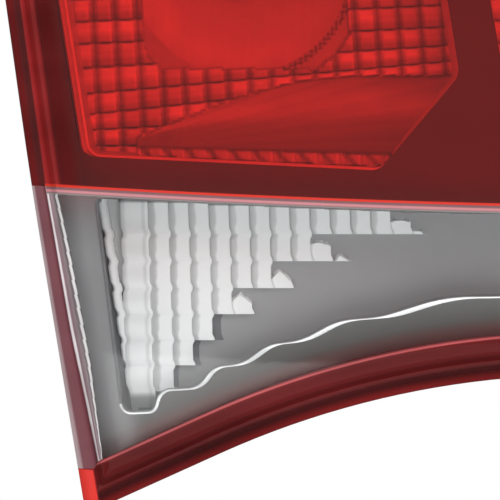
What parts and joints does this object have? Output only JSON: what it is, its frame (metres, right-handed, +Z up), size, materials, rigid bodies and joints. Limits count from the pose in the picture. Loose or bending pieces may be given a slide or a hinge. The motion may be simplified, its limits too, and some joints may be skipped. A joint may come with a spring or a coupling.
{
  "type": "tail light cluster",
  "caption": "rear lamp cluster with red upper lens, clear fluted reversing section, black housing, bulb sockets and mounting studs",
  "frame": {"origin": "axis of the upper stud, on the seat face that meets the body panel", "axes": "+Y into the vehicle, along the studs; the lens looks along -Y; +X right as seen from behind the vehicle; +Z up"},
  "size_m": [0.216, 0.087, 0.1668],
  "materials": {
    "housing_plastic": "matte",
    "red_lens": "gloss",
    "clear_lens": "gloss",
    "sealant": "matte",
    "bezel_plastic": "satin",
    "reflector": "gloss",
    "screw_steel": "satin",
    "bulb_glass": "gloss",
    "socket_plastic": "matte",
    "seal_rubber": "matte",
    "contact_brass": "satin",
    "stud_steel": "satin",
    "gasket_foam": "matte"
  },
  "bodies": {
    "root": {"housing": "housing_plastic", "red_lens": "red_lens", "clear_lens": "clear_lens", "lens_seal": "sealant", "inner_bezel": "bezel_plastic", "tail_reflector": "reflector", "turn_reflector": "reflector", "reverse_reflector": "reflector", "reflector_screws": "screw_steel", "tail_bulb": "bulb_glass", "turn_bulb": "bulb_glass", "reverse_bulb": "bulb_glass", "tail_socket": "socket_plastic", "turn_socket": "socket_plastic", "reverse_socket": "socket_plastic", "tail_seal_ring": "seal_rubber", "turn_seal_ring": "seal_rubber", "reverse_seal_ring": "seal_rubber", "tail_contacts": "contact_brass", "turn_contacts": "contact_brass", "reverse_contacts": "contact_brass", "mounting_studs": "stud_steel", "stud_gaskets": "gasket_foam", "vent_cap": "seal_rubber"}
  },
  "joints": []
}
